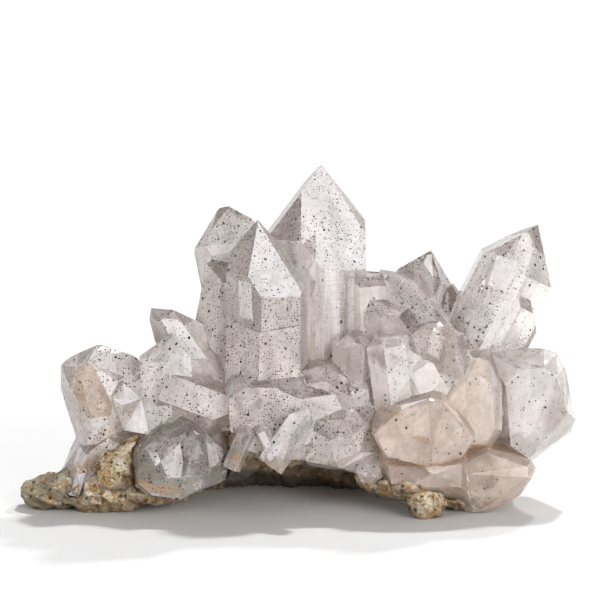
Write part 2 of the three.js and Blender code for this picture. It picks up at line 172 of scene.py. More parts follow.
class Nodes:
    """A node tree to which nodes are added by their type, settings and sockets."""

    def __init__(self, tree):
        self.tree = tree
        tree.nodes.clear()

    def feed(self, slot, item):
        if isinstance(item, Value):
            item = item.socket
        if isinstance(item, bpy.types.NodeSocket):
            self.tree.links.new(item, slot)
        else:
            slot.default_value = item

    def add(self, kind, settings=None, sockets=None):
        node = self.tree.nodes.new("ShaderNode" + kind)
        for name, item in (settings or {}).items():
            if name == "stops":
                self.set_stops(node.color_ramp, item)
            else:
                setattr(node, name, item)
        for name, item in (sockets or {}).items():
            self.feed(node.inputs[name], item)
        return node

    @staticmethod
    def set_stops(ramp, stops):
        while len(ramp.elements) < len(stops):
            ramp.elements.new(0.5)
        for element, (position, colour) in zip(ramp.elements, stops):
            element.position = position
            element.color = (*colour, 1)

    def number(self, node, output=0):
        return Value(self.tree, node.outputs[output])

    def place(self):
        return self.add("TexCoord").outputs["Object"]

    def painted(self, name):
        return self.number(self.add("Attribute", {"attribute_name": name}), "Fac")

    def noise(self, size, detail=3.0, rough=0.5, where=None):
        """Soft noise from 0 to 1, with lumps of that size in metres."""
        where = where or self.place()
        sockets = {"Vector": where, "Scale": 1 / size, "Detail": detail, "Roughness": rough}
        return self.number(self.add("TexNoise", {}, sockets), 0)

    def cells(self, size, where=None, dimensions="3D"):
        """Distance from the nearest of scattered points, in metres, and a colour for each point."""
        sockets = {"Vector": where or self.place(), "Scale": 1 / size}
        node = self.add("TexVoronoi", {"voronoi_dimensions": dimensions}, sockets)
        return self.number(node, "Distance") * size, node.outputs["Color"]

    def stretched(self, where, sizes):
        """Coordinates in which each axis is counted in its own size, given in metres."""
        scale = tuple(1 / size for size in sizes)
        return self.add("Mapping", {}, {"Vector": where, "Scale": scale}).outputs[0]

    def grey(self, colour):
        """The three channels of a colour, each as a number."""
        node = self.add("SeparateColor", {}, {"Color": colour})
        return [self.number(node, i) for i in range(3)]

    def rise(self, value, low, high):
        """0 below low and 1 above high, with a smooth step between them."""
        sockets = {"Value": value, "From Min": low, "From Max": high}
        return self.number(self.add("MapRange", {"interpolation_type": "SMOOTHSTEP"}, sockets), 0)

    def blend(self, factor, a, b, mode="MIX"):
        node = self.add("Mix", {"data_type": "RGBA", "blend_type": mode})
        self.feed(node.inputs[0], factor)
        for slot, colour in zip((node.inputs[6], node.inputs[7]), (a, b)):
            self.feed(slot, (*colour, 1) if isinstance(colour, tuple) else colour)
        return node.outputs[2]

    def bump(self, height, distance, strength=1.0, below=None):
        sockets = {"Height": height, "Distance": distance, "Strength": strength}
        if below is not None:
            sockets["Normal"] = below
        return self.add("Bump", {}, sockets).outputs[0]

    def finish(self, surface, volume=None):
        out = self.add("OutputMaterial", {}, {"Surface": surface})
        if volume is not None:
            self.feed(out.inputs["Volume"], volume)


def new_material(name):
    material = bpy.data.materials.new(name)
    material.use_nodes = True
    return material, Nodes(material.node_tree)


# Places in the photograph


def view_axes():
    forward = Vector((0, math.cos(LOOKING_DOWN), -math.sin(LOOKING_DOWN)))
    right = Vector((1, 0, 0))
    return forward, right, right.cross(forward)


def camera_place():
    return TARGET - view_axes()[0] * DISTANCE


def ray_through(pixel):
    """The direction from the camera through a pixel of the photograph."""
    forward, right, up = view_axes()
    across = (pixel[0] - PHOTO_SIDE / 2) * PIXEL
    above = (PHOTO_SIDE / 2 - pixel[1]) * PIXEL
    return (forward * DISTANCE + right * across + up * above).normalized()


def pixels_of(points):
    """Where points lie in the photograph, as an array of pixel pairs."""
    forward, right, up = (np.array(axis) for axis in view_axes())
    away = points - np.array(camera_place())
    scale = DISTANCE / (away @ forward) / PIXEL
    across = PHOTO_SIDE / 2 + away @ right * scale
    down = PHOTO_SIDE / 2 - away @ up * scale
    return np.stack([across, down], 1)


# Meshes as arrays: corners, triangles, and the flat face that each triangle is part of


def flat_faces(node, windows=(), named=()):
    """A CAD node's shape: its corners, its triangles, and for each triangle its flat face's number.

    Each window is a look and the pixels round an area of one flat face, which becomes a face of
    its own. Each named entry is a look and pixels on faces. Also gives the look of each face.
    """
    shape = bmesh.new()
    shape.from_mesh(node.data)
    bmesh.ops.remove_doubles(shape, verts=shape.verts, dist=1e-6)
    bmesh.ops.dissolve_limit(
        shape, angle_limit=math.radians(1.0), verts=shape.verts, edges=shape.edges
    )
    number = shape.faces.layers.int.new("facet")
    for i, face in enumerate(shape.faces):
        face[number] = i
    looks = [None] * len(shape.faces)
    for look, pixels in named:
        for pixel in pixels:
            struck = face_at(shape, pixel)
            if struck:
                looks[struck[number]] = look
    for look, pixels in windows:
        cut_window(shape, number, pixels, look, looks)
    bmesh.ops.triangulate(shape, faces=shape.faces, quad_method="BEAUTY", ngon_method="BEAUTY")
    shape.verts.index_update()
    corners = np.array([vert.co for vert in shape.verts])
    triangles = np.array([[vert.index for vert in face.verts] for face in shape.faces])
    facets = np.array([face[number] for face in shape.faces])
    shape.free()
    return corners, triangles, facets, looks


def face_at(shape, pixel):
    """The first face that the camera sees through a pixel of the photograph."""
    shape.faces.ensure_lookup_table()
    tree = BVHTree.FromBMesh(shape)
    index = tree.ray_cast(camera_place(), ray_through(pixel))[2]
    return None if index is None else shape.faces[index]


def cut_window(shape, number, pixels, look, looks):
    """Cuts the flat face under the window's middle along the window's sides."""
    struck = face_at(shape, tuple(np.mean(pixels, 0)))
    if struck is None:
        return
    old = struck[number]
    eye = camera_place()
    middle = ray_through(tuple(np.mean(pixels, 0)))
    sides = []
    for start, end in zip(pixels, pixels[1:] + pixels[:1]):
        across = ray_through(start).cross(ray_through(end)).normalized()
        sides.append(across if across.dot(middle) > 0 else -across)
    for across in sides:
        faces = [face for face in shape.faces if face[number] == old]
        edges = {edge for face in faces for edge in face.edges}
        verts = {vert for face in faces for vert in face.verts}
        bmesh.ops.bisect_plane(
            shape, geom=[*verts, *edges, *faces], dist=1e-7, plane_co=eye, plane_no=across
        )
    for face in shape.faces:
        inwards = face.calc_center_median() - eye
        if face[number] == old and all(inwards.dot(across) > 0 for across in sides):
            face[number] = len(looks)
    looks.append(look)


def edges_of(triangles):
    """The mesh's edges as corner pairs, and the three edges of each triangle."""
    pairs = np.sort(triangles[:, [0, 1, 1, 2, 2, 0]].reshape(-1, 2), 1)
    edges, which = np.unique(pairs, axis=0, return_inverse=True)
    return edges, which.reshape(-1, 3)


def refined(corners, triangles, facets, longest):
    """Halves edges until none is longer than that. Neighbouring triangles stay joined."""
    for _ in range(12):
        edges, which = edges_of(triangles)
        lengths = np.linalg.norm(corners[edges[:, 0]] - corners[edges[:, 1]], axis=1)
        split = lengths > longest
        if not split.any():
            break
        middle = np.full(len(edges), -1)
        middle[split] = len(corners) + np.arange(split.sum())
        corners = np.concatenate([corners, corners[edges[split]].mean(1)])
        triangles, facets = split_triangles(corners, triangles, facets, middle[which])
    return corners, triangles, facets


def split_triangles(corners, triangles, facets, middles):
    """Splits each triangle at the middles that it has; -1 stands for none."""
    count = (middles >= 0).sum(1)
    made = [triangles[count == 0]]
    owners = [facets[count == 0]]

    def put(rows, *pieces):
        for piece in pieces:
            made.append(np.stack(piece, 1))
            owners.append(facets[rows])

    for turn in range(3):
        first, second, third = turn, (turn + 1) % 3, (turn + 2) % 3
        rows = np.flatnonzero((count == 1) & (middles[:, first] >= 0))
        a, b, c = triangles[rows, first], triangles[rows, second], triangles[rows, third]
        m = middles[rows, first]
        put(rows, (a, m, c), (m, b, c))
        rows = np.flatnonzero((count == 2) & (middles[:, third] < 0))
        a, b, c = triangles[rows, first], triangles[rows, second], triangles[rows, third]
        m, n = middles[rows, first], middles[rows, second]
        put(rows, (m, b, n))
        from_a = np.linalg.norm(corners[a] - corners[n], axis=1)
        from_c = np.linalg.norm(corners[c] - corners[m], axis=1)
        near = from_a < from_c
        put(rows[near], (a[near], m[near], n[near]), (a[near], n[near], c[near]))
        far = ~near
        put(rows[far], (a[far], m[far], c[far]), (m[far], n[far], c[far]))
    rows = np.flatnonzero(count == 3)
    a, b, c = triangles[rows].T
    m, n, o = middles[rows].T
    put(rows, (a, m, o), (m, b, n), (o, n, c), (m, n, o))
    return np.concatenate(made), np.concatenate(owners)


def normals_of(corners, triangles):
    """The area-weighted normals of the triangles."""
    a, b, c = corners[triangles[:, 0]], corners[triangles[:, 1]], corners[triangles[:, 2]]
    return np.cross(b - a, c - a)


def unit(vectors):
    return vectors / np.maximum(np.linalg.norm(vectors, axis=-1, keepdims=True), 1e-30)


def corner_normals(corners, triangles):
    sums = np.zeros_like(corners)
    across = normals_of(corners, triangles)
    for i in range(3):
        np.add.at(sums, triangles[:, i], across)
    return unit(sums)


def least_around(values, triangles, count):
    """For each corner, the least value of the triangles that meet there."""
    out = np.full(count, np.inf)
    for i in range(3):
        np.minimum.at(out, triangles[:, i], values)
    return out


def lumps(points, size, seed, octaves=3):
    """Smooth random heights from -1 to 1 at points, with lumps of that size: sums of waves."""
    rng = np.random.default_rng(seed)
    total = np.zeros(len(points))
    share = 1.0
    for _ in range(octaves):
        for _ in range(7):
            direction = rng.normal(size=3)
            direction /= np.linalg.norm(direction)
            wave = 2 * math.pi / (size * rng.uniform(0.8, 1.5))
            total += share * np.sin(points @ direction * wave + rng.uniform(0, 6.3)) / 7**0.5
        size *= 0.5
        share *= 0.5
    return np.clip(total / 1.9, -1, 1)


def kept_inside(points, node):
    """The points, none of them outside the box of the CAD node."""
    low, high = (np.array(corner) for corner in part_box(node.name))
    return np.clip(points, low, high)


def mesh_object(name, corners, triangles, sharp=None):
    mesh = bpy.data.meshes.new(name)
    mesh.from_pydata(corners.tolist(), [], triangles.tolist())
    mesh.shade_smooth()
    if sharp is not None:
        marks = mesh.attributes.new("sharp_edge", "BOOLEAN", "EDGE")
        ends = np.zeros(len(mesh.edges) * 2, int)
        mesh.edges.foreach_get("vertices", ends)
        ends = np.sort(ends.reshape(-1, 2), 1)
        count = len(corners)
        marks.data.foreach_set("value", np.isin(ends @ [count, 1], sharp @ [count, 1]))
    thing = bpy.data.objects.new(name, mesh)
    bpy.context.scene.collection.objects.link(thing)
    return thing


def sharp_edges(triangles, facets, facing, limits):
    """The edges between flat faces whose directions differ by more degrees than both limits."""
    edges, which = edges_of(triangles)
    least = np.full(len(edges), len(facing))
    most = np.full(len(edges), -1)
    for i in range(3):
        np.minimum.at(least, which[:, i], facets)
        np.maximum.at(most, which[:, i], facets)
    limit = np.minimum(limits[least], limits[most])
    apart = (facing[least] * facing[most]).sum(1) < np.cos(np.radians(limit))
    return edges[(least != most) & apart]


def paint(thing, name, values, domain="POINT"):
    layer = thing.data.attributes.new(name, "FLOAT", domain)
    layer.data.foreach_set("value", values.astype(np.float32))


# Quartz

# What a flat face looks like: how milky it is, how light the milk is, with painted light and shade
# among that lightness, how warm, how many dark specks it carries, how striped with growth lines it
# is, and how frosted.
QUALITIES = ("haze", "light", "warm", "specks", "stripes", "frost")
LIGHT, SPECKS, FROST = (QUALITIES.index(name) for name in ("light", "specks", "frost"))

# A rough face with more frost than this is rounded off.
FROSTED_FROM = 0.27

# The lightness of the named looks holds painted light and shade as well as the milk's own tone.
# 'lit' and 'bright' carry painted highlights and reflections of the lamps as well as pale milk.
# 'dim', 'dusky' and 'shaded' carry painted shade as well as darker milk. 'banded' and 'freckled' are
# painted lighter on faces that turn from the lamps.
LOOKS = {
    "lit": (0.92, 0.73, 0.00, 0.80, 0.0, 0.20),
    "bright": (0.62, 0.92, 0.05, 0.35, 0.3, 0.12),
    "clear": (0.36, 0.66, 0.10, 0.60, 0.6, 0.05),
    "striped": (0.50, 0.86, 0.16, 0.12, 1.1, 0.10),
    "banded": (0.60, 1.00, 0.10, 0.25, 1.4, 0.08),
    "freckled": (0.58, 0.94, 0.18, 1.10, 0.1, 0.16),
    "smooth": (0.74, 0.60, 0.22, 0.10, 0.2, 0.15),
    "smoky": (0.46, 0.50, 0.16, 1.30, 0.3, 0.10),
    "glassy": (0.56, 1.00, 0.04, 0.20, 0.9, 0.04),
    "dusky": (0.62, 0.44, 0.16, 1.40, 0.1, 0.20),
    "dim": (0.66, 0.20, 0.20, 1.40, 0.4, 0.14),
    "shaded": (0.60, 0.42, 0.20, 0.60, 0.1, 0.20),
    "milky": (0.60, 0.62, 0.14, 0.35, 0.1, 0.30),
    "peppered": (0.52, 0.74, 0.20, 1.30, 0.0, 0.18),
    "beige": (0.58, 0.66, 0.50, 0.20, 0.0, 0.40),
    "tan": (0.56, 0.48, 0.56, 0.15, 0.0, 0.45),
    "orange": (0.52, 0.50, 1.00, 0.40, 0.1, 0.15),
    "green": (0.40, 0.52, 0.14, 1.00, 0.9, 0.06),
}

# The looks of side, tip and rough faces that aren't named, and how unlike each other they are.
PLAIN_LOOKS = (
    (0.34, 0.66, 0.18, 0.35, 0.7, 0.08),
    (0.42, 0.56, 0.14, 0.90, 0.1, 0.12),
    (0.46, 0.74, 0.22, 0.80, 0.2, 0.14),
)
VARIETY = (0.12, 0.14, 0.08, 0.1, 0.1, 0.1)
ROUGH_VARIETY = 1.4

# Faces named by pixels of the photograph that show them.
FACES = (
    ("lit", ((335, 230), (275, 270))),
    ("dusky", ((285, 222), (160, 313))),
    ("dim", ((440, 262), (420, 268), (450, 285), (399, 290), (400, 300), (410, 312))),
    ("dim", ((447, 300), (215, 270), (225, 268))),
    ("shaded", ((355, 210), (361, 222), (303, 187), (311, 177), (308, 181))),
    ("banded", ((288, 248), (295, 262))),
    ("striped", ((340, 300), (316, 310), (308, 330), (348, 300))),
    ("smoky", ((222, 225), (243, 290), (240, 255))),
    ("clear", ((485, 290), (500, 300), (305, 325), (175, 360))),
    ("peppered", ((285, 350), (245, 350), (200, 395), (265, 410), (320, 380), (345, 420))),
    ("peppered", ((110, 350),)),
    ("peppered", ((285, 312), (213, 300), (75, 455), (120, 358))),
    ("freckled", ((212, 335), (225, 358), (218, 345), (205, 325), (160, 385), (150, 355))),
    ("smooth", ((365, 300), (360, 310), (378, 290), (155, 330))),
    ("bright", ((130, 400), (135, 420), (140, 398), (300, 420), (290, 430), (268, 445))),
    ("bright", ((258, 435), (178, 352))),
    ("beige", ((430, 430), (430, 455), (475, 400), (460, 380), (410, 410))),
    ("milky", ((545, 400), (515, 440), (560, 380), (395, 370), (400, 350))),
    ("tan", ((500, 470), (490, 495), (425, 485), (440, 475))),
    ("green", ((180, 460), (160, 440), (205, 450), (190, 430), (245, 445))),
    ("orange", ((90, 385),)),
)

# Areas of a face that stand out from it: inner planes, veils, and painted reflections and
# highlights.
WINDOWS = (
    ("bright", ((238, 280), (251, 283), (253, 321), (240, 317))),
    ("lit", ((246, 290), (251, 288), (252, 319), (247, 317))),
    ("bright", ((203, 246), (238, 243), (236, 262), (201, 262))),
    ("dusky", ((297, 250), (316, 233), (316, 258))),
    ("lit", ((160, 318), (180, 320), (200, 345), (207, 358), (185, 360), (168, 333))),
    ("bright", ((228, 306), (229, 335), (214, 335))),
    ("bright", ((427, 255), (432, 254), (433, 277), (424, 264))),
    ("bright", ((497, 255), (522, 262), (505, 292), (488, 284))),
    ("dusky", ((482, 303), (496, 310), (484, 334), (469, 332))),
    ("bright", ((530, 300), (545, 292), (540, 318), (528, 336))),
    ("bright", ((348, 272), (354, 272), (353, 372), (347, 372))),
    ("dusky", ((135, 447), (150, 436), (180, 417), (188, 424), (176, 435), (144, 446))),
    ("clear", ((144, 446), (178, 435), (180, 441), (163, 450), (153, 453))),
    ("glassy", ((146, 449), (156, 451), (166, 472), (161, 476))),
    ("glassy", ((164, 450), (180, 442), (183, 462), (180, 482), (170, 484), (161, 462))),
    ("dusky", ((184, 438), (195, 435), (204, 448), (197, 460), (184, 456))),
    ("glassy", ((205, 441), (217, 447), (220, 464), (209, 468), (203, 452))),
)

# Areas of the photograph whose broken faces share a look: the look, the middle and the radius.
REGIONS = (
    ("green", (180, 460), 48),
    ("peppered", (262, 408), 40),
    ("peppered", (335, 425), 42),
    ("beige", (425, 432), 52),
    ("beige", (475, 400), 40),
    ("tan", (500, 480), 46),
    ("tan", (425, 485), 42),
    ("milky", (540, 400), 56),
    ("milky", (400, 370), 40),
    ("peppered", (100, 385), 60),
    ("milky", (366, 470), 14),
    ("bright", (84, 470), 20),
)


def owner_of(facing, centre):
    """The crystal that a flat face belongs to, and whether it is a side, a tip face or rough."""
    best = (1e9, None, "rough")
    at = centre / MM - CENTRING
    for name, (tip, axis, reach, length) in CRYSTALS.items():
        along = np.array(axis, float)
        along /= np.linalg.norm(along)
        down = (np.array(tip) - at) @ along
        aside = np.linalg.norm(at - np.array(tip) + down * along)
        if not (-BEYOND_TIP < down < length and aside < reach):
            continue
        for kind, wanted in (("side", 0.0), ("tip", TIP_SINE)):
            miss = abs(facing @ along - wanted)
            against = miss * MISS_WEIGHT + aside * ASIDE_WEIGHT
            if miss < MOST_MISSED and against < best[0]:
                best = (against, name, kind)
    return best[1], best[2]


def measured(corners, triangles, facets, count):
    """The direction and the middle of each flat face."""
    across = normals_of(corners, triangles)
    facing = np.zeros((count, 3))
    np.add.at(facing, facets, across)
    weight = np.linalg.norm(across, axis=1)
    centre = np.zeros((count, 3))
    np.add.at(centre, facets, corners[triangles].mean(1) * weight[:, None])
    total = np.maximum(np.bincount(facets, weight, count), 1e-12)
    return unit(facing), centre / total[:, None]


def softened(corners, triangles, free, rounds):
    """Rounds the free corners off by moving each halfway to the mean of its neighbours."""
    edges = edges_of(triangles)[0]
    count = len(corners)
    near = np.bincount(edges.ravel(), minlength=count)[:, None]
    for _ in range(rounds):
        sums = np.zeros_like(corners)
        np.add.at(sums, edges[:, 0], corners[edges[:, 1]])
        np.add.at(sums, edges[:, 1], corners[edges[:, 0]])
        corners = np.where(free[:, None], (corners + sums / near) / 2, corners)
    return corners


def quartz_piece(node):
    corners, triangles, facets, looks = flat_faces(node, WINDOWS, FACES)
    count = len(looks)
    facing, centre = measured(corners, triangles, facets, count)
    owners = [owner_of(direction, middle) for direction, middle in zip(facing, centre)]
    kind = np.array([KINDS.index(owner[1]) for owner in owners])

    fine, pieces, owner_face = refined(corners, triangles, facets, QUARTZ_EDGE)
    values = face_values(kind, facing, centre, looks)
    frosted = is_frosted(kind, values).astype(float)
    free = least_around(frosted[owner_face], pieces, len(fine)) > 0.5
    rounded = softened(fine, pieces, free, 1)
    outward = corner_normals(rounded, pieces)
    relief = np.array(RELIEF)[kind][owner_face]
    depth = least_around(relief, pieces, len(fine))
    heights = 0.25 + 0.25 * lumps(rounded, 5 * MM, 3) + 0.5 * np.abs(lumps(rounded, 7 * MM, 4, 2))
    moved = rounded - outward * (depth * heights)[:, None]
    moved = kept_inside(moved, node)

    limits = np.where(frosted > 0, SHARP_ABOVE_FROSTED, SHARP_ABOVE)
    sharp = sharp_edges(pieces, owner_face, facing, limits)
    piece = mesh_object("quartz_cluster", moved, pieces, sharp)
    edge = np.zeros(len(moved))
    edge[sharp.ravel()] = 1
    paint(piece, "edge", edge)
    for name, column in zip(QUALITIES, values.T):
        paint(piece, name, column[owner_face], "FACE")
    across, along = flat_places(moved, pieces, owner_face, owners, facing)
    paint(piece, "across", across, "CORNER")
    paint(piece, "along", along, "CORNER")
    for name, amounts in stains(moved, outward).items():
        paint(piece, name, amounts)
    piece.data.materials.append(quartz_material())
    return piece


def is_frosted(kind, values):
    return (kind == ROUGH) & (values[:, FROST] > FROSTED_FROM)


def face_values(kind, facing, centre, looks):
    """The six QUALITIES of each face. Unnamed faces get them from their kind or region."""
    random = np.random.default_rng(5)
    rough = kind == ROUGH
    values = np.array(PLAIN_LOOKS)[kind]
    pixels = pixels_of(centre)
    for look, middle, radius in REGIONS:
        inside = np.linalg.norm(pixels - middle, axis=1) < radius
        values[inside & rough] = LOOKS[look]
    unlike = random.uniform(-1, 1, values.shape) * VARIETY
    values = values + unlike * np.where(rough, ROUGH_VARIETY, 1.0)[:, None]
    # Frosted milk is painted lighter on the faces that turn away from the front, as painted light
    # from behind at its rims; tops carry more specks.
    values[:, LIGHT] += np.where(is_frosted(kind, values), 0.25 * (1 + facing[:, 1]), 0)
    values[:, SPECKS] *= 0.6 + 0.7 * np.clip(facing[:, 2], 0, 1)
    for i, look in enumerate(looks):
        if look:
            values[i] = LOOKS[look]
    return np.clip(values, 0, 2)


def flat_places(corners, triangles, owner_face, owners, facing):
    """For each corner of each triangle, its place on its flat face: across and along the crystal."""
    names = list(CRYSTALS)
    axes = np.array([unit(np.array(CRYSTALS[name][1], float)) for name in names] + [[0.1, 0.2, 1]])
    which = np.array([names.index(name) if name else len(names) for name, _ in owners])
    sideways = unit(np.cross(axes[which], facing) + np.array([1e-4, 0, 0]))
    upwards = np.cross(facing, sideways)
    points = corners[triangles]
    across = np.einsum("ijk,ik->ij", points, sideways[owner_face])
    along = np.einsum("ijk,ik->ij", points, upwards[owner_face])
    shift = (np.arange(len(owners)) * 0.37 % 1.0 * 0.05)[owner_face][:, None]
    return (across + shift).reshape(-1), along.reshape(-1)


# Lines of stain, as pixels of the photograph: what, the line, and how far it spreads in pixels.
STAINS = (
    ("rust", ((232, 461), (255, 467), (292, 472), (330, 476), (375, 488), (412, 500)), 8),
    ("moss", ((228, 452), (245, 458), (262, 462), (285, 466), (300, 466), (335, 472)), 8),
    ("rust", ((128, 478), (150, 488), (178, 491)), 7),
    ("moss", ((128, 466), (150, 470), (165, 482)), 8),
    ("moss", ((194, 479), (216, 470)), 5),
    ("moss", ((134, 446), (150, 436), (180, 418)), 6),
    ("rust", ((226, 410), (232, 425), (236, 440)), 3),
    ("rust", ((384, 458), (371, 436), (380, 421)), 4),
    ("rust", ((384, 460), (427, 468), (462, 458), (478, 446), (504, 447)), 4),
    ("rust", ((414, 437), (428, 442)), 3),
    ("moss", ((112, 470), (150, 482), (190, 490)), 10),
    ("moss", ((135, 462), (160, 478)), 9),
    ("moss", ((395, 490), (440, 497), (470, 503)), 8),
    ("rust", ((70, 470), (110, 462), (135, 448)), 7),
    ("moss", ((100, 445), (130, 432)), 5),
    ("rust", ((380, 408), (408, 418)), 2),
)


def stains(points, outward):
    """How rusty and how mossy each point is: along drawn lines, and low down all round."""
    pixels = pixels_of(points)
    seen = outward @ np.array(view_axes()[0]) < 0.3
    out = {"rust": np.zeros(len(points)), "moss": np.zeros(len(points))}
    for name, line, reach in STAINS:
        for a, b in zip(line, line[1:]):
            a, b = np.array(a, float), np.array(b, float)
            share = np.clip((pixels - a) @ (b - a) / ((b - a) @ (b - a)), 0, 1)
            away = np.linalg.norm(pixels - a - share[:, None] * (b - a), axis=1)
            out[name] = np.maximum(out[name], np.where(seen, np.clip(1.5 - away / reach, 0, 1), 0))
    low = np.clip(1.1 - points[:, 2] / (14 * MM), 0, 1) * np.clip(0.6 - outward[:, 2], 0, 1)
    out["moss"] = np.maximum(out["moss"], low * np.where(seen, 0.35, 0.8))
    return out


# Layers of specks: how far apart they lie, how wide the widest is, and the share of them shown.
SPECK_LAYERS = ((1.5 * MM, 0.42 * MM, 0.32), (0.72 * MM, 0.22 * MM, 0.62))
SPECK_WAVER = 0.09 * MM


def dark_specks(nodes, flat, wanted):
    """How dark the flat face is with round specks; wanted says how many of them it has."""
    wobble = nodes.add("TexNoise", {}, {"Vector": flat, "Scale": 1 / (0.5 * MM), "Detail": 1.0})
    uneven = nodes.add("VectorMath", {"operation": "MULTIPLY_ADD"}, {
        0: wobble.outputs["Color"], 1: (SPECK_WAVER, SPECK_WAVER, 0), 2: flat,
    }).outputs[0]
    total = 0.0
    for size, widest, part in SPECK_LAYERS:
        distance, colour = nodes.cells(size, uneven, "2D")
        chance, width, dark = nodes.grey(colour)
        radius = (0.35 + width * width * 0.65) * widest
        inside = 1 - nodes.rise(distance / radius, 0.8, 1.1)
        shown = chance < wanted * part
        total = (inside * shown * (1.0 + dark * 0.5)).clipped().larger(total)
    return total


def quartz_material():
    material, nodes = new_material("quartz, clear to milky")
    haze, light, warm, specks, stripes, frost = (nodes.painted(name) for name in QUALITIES)
    places = {"X": nodes.painted("across"), "Y": nodes.painted("along")}
    flat = nodes.add("CombineXYZ", {}, places).outputs[0]

    cloud = nodes.noise(8 * MM, 3, 0.5) - 0.5
    wisp = nodes.noise(1.6 * MM, 4, 0.65) - 0.5
    plane = nodes.stretched(flat, (4 * MM, 12 * MM, 1))
    shard, other, _ = nodes.grey(nodes.cells(1.0, plane, "2D")[1])
    split = 0.16 + stripes * 0.2
    patch = nodes.rise(nodes.noise(6 * MM, 3, 0.6), 0.36, 0.62)
    lines = nodes.noise(1.0, 3, 0.7, nodes.stretched(flat, (4 * MM, 0.4 * MM, 1))) - 0.5
    streaks = nodes.noise(1.0, 3, 0.6, nodes.stretched(flat, (1.6 * MM, 24 * MM, 1))) - 0.5
    grown = stripes * (lines * patch * 0.8 + streaks * 0.7)

    milk = (haze + cloud * 0.5 + wisp * 0.3 + (shard - 0.5) * split + grown * 0.7).clipped()
    # The milk's tone follows each face's lightness, painted light and shade included.
    tone = (light + cloud * 0.20 + wisp * 0.24 + (other - 0.5) * split + grown).clipped()
    milk_colour = nodes.blend(tone, (0.16, 0.135, 0.12), (0.89, 0.858, 0.866))
    milk_colour = nodes.blend((warm * 1.3).clipped(), milk_colour, (1.0, 0.80, 0.63), "MULTIPLY")

    dots = dark_specks(nodes, flat, specks * (0.45 + patch * 0.75))
    crumb = nodes.noise(0.9 * MM, 3, 0.7) - 0.5
    # Sharp edges whitened: real edge wear and a painted highlight along them.
    edge_wear_and_highlight = nodes.rise(nodes.painted("edge") + crumb * 0.9 + cloud * 0.5, 0.86, 1.0)
    moss = nodes.rise(nodes.painted("moss") + wisp * 3 + crumb * 2 + cloud, 0.65, 1.0)
    rust = nodes.rise(nodes.painted("rust") + wisp * 3 - crumb * 3 - cloud, 0.66, 1.05)
    surface_colour = nodes.blend(edge_wear_and_highlight * 0.6, milk_colour, (0.80, 0.76, 0.74))
    surface_colour = nodes.blend(moss * 0.75, surface_colour, (0.14, 0.13, 0.08))
    surface_colour = nodes.blend(rust * 0.7, surface_colour, (0.44, 0.24, 0.10))
    surface_colour = nodes.blend(dots, surface_colour, (0.02, 0.018, 0.02))
    clear_colour = nodes.blend(warm, (0.97, 0.955, 0.95), (0.98, 0.88, 0.76))

    grain = nodes.noise(0.7 * MM, 4, 0.6)
    normal = nodes.bump(grown, 0.10 * MM, 0.5)
    normal = nodes.bump(grain, 0.06 * MM, 0.5, normal)
    clear = nodes.add("BsdfPrincipled", {}, {
        "Base Color": clear_colour,
        "Roughness": 0.03 + frost * 0.35,
        "IOR": 1.544,
        "Transmission Weight": 1.0,
        "Normal": normal,
    })
    milky = nodes.add("BsdfPrincipled", {}, {
        "Base Color": surface_colour,
        "Roughness": (0.12 + frost * 0.5 + moss * 0.4 + rust * 0.4).clipped(),
        "IOR": 1.544,
        "Normal": normal,
    })
    share = (milk * 0.95).larger(dots).larger(edge_wear_and_highlight * 0.7).larger(moss * 0.8).larger(rust * 0.6)
    mixed = nodes.add("MixShader", {}, {0: share, 1: clear.outputs[0], 2: milky.outputs[0]})
    tint = nodes.add("VolumeAbsorption", {}, {"Color": (0.82, 0.74, 0.69, 1), "Density": 16.0})
    nodes.finish(mixed.outputs[0], tint.outputs[0])
    return material


# Rock

# The lower edge of the front, over the hollow, in pixels of the photograph. Below it, within a few
# pixels, the rock is painted dark as painted shade in the hollow, from a little left of its first
# point.
BROW = ((230, 461), (255, 468), (292, 474), (330, 478), (375, 490), (412, 503))
BROW_FADE = 5
BROW_MARGIN = 6


def rock_piece(node):
    corners, triangles, facets, _ = flat_faces(node)
    fine, pieces, _ = refined(corners, triangles, facets, ROCK_EDGE)
    fine = softened(fine, pieces, np.ones(len(fine), bool), 2)
    outward = corner_normals(fine, pieces)
    heights = lumps(fine, 6 * MM, 11, 2) * 0.5 + np.abs(lumps(fine, 2.6 * MM, 12, 2)) * 0.8
    heights += np.abs(lumps(fine, 1.3 * MM, 13, 2)) * 0.35
    moved = fine + outward * ((0.3 - heights) * MM)[:, None]
    moved = kept_inside(moved, node)
    piece = mesh_object("rock_crust", moved, pieces)
    # How deep the relief sinks, which darkens the colour as painted shade.
    paint(piece, "hollow", np.clip(heights, 0, 1.6))
    # Painted shade: how far the rock turns down, for a darker brown underneath.
    paint(piece, "under", np.clip(0.3 - outward[:, 2] * 1.2, 0, 1))
    # Painted shade in the hollow: the rock below the front's lower edge.
    pixels = pixels_of(moved)
    brow = np.interp(pixels[:, 0], *np.transpose(BROW))
    inside = (pixels[:, 0] > BROW[0][0] - BROW_MARGIN) & (pixels[:, 0] < BROW[-1][0])
    deep = np.clip((pixels[:, 1] - brow) / BROW_FADE, 0, 1)
    paint(piece, "deep", np.where(inside, deep, 0))
    piece.data.materials.append(rock_material())
    return piece


